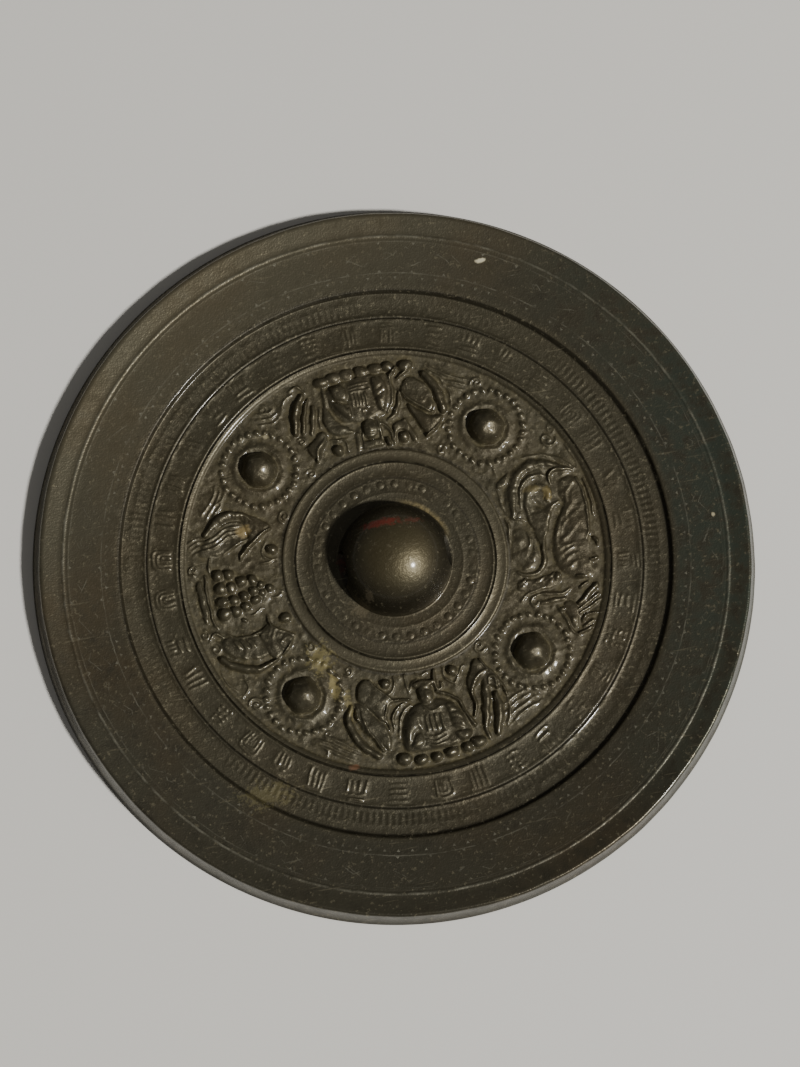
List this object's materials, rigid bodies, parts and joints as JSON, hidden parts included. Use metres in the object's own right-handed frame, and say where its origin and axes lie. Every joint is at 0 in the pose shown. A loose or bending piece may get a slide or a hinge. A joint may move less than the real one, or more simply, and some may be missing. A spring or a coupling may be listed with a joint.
{
  "type": "ancient bronze mirror",
  "caption": "Round cast bronze hand mirror lying on its polished face, its carved back up, with a domed knob pierced for a cord.",
  "frame": {"origin": "centre of the polished reflecting face, on which the mirror lies", "axes": "+Z out of the carved back, +X along the cord hole through the knob"},
  "size_m": [0.194, 0.194, 0.0186],
  "materials": {
    "bronze": "dark brown-grey patinated cast bronze, worn smooth on the rim, with olive dust in the hollows"
  },
  "bodies": {
    "root": {"mirror": "bronze"}
  },
  "joints": []
}
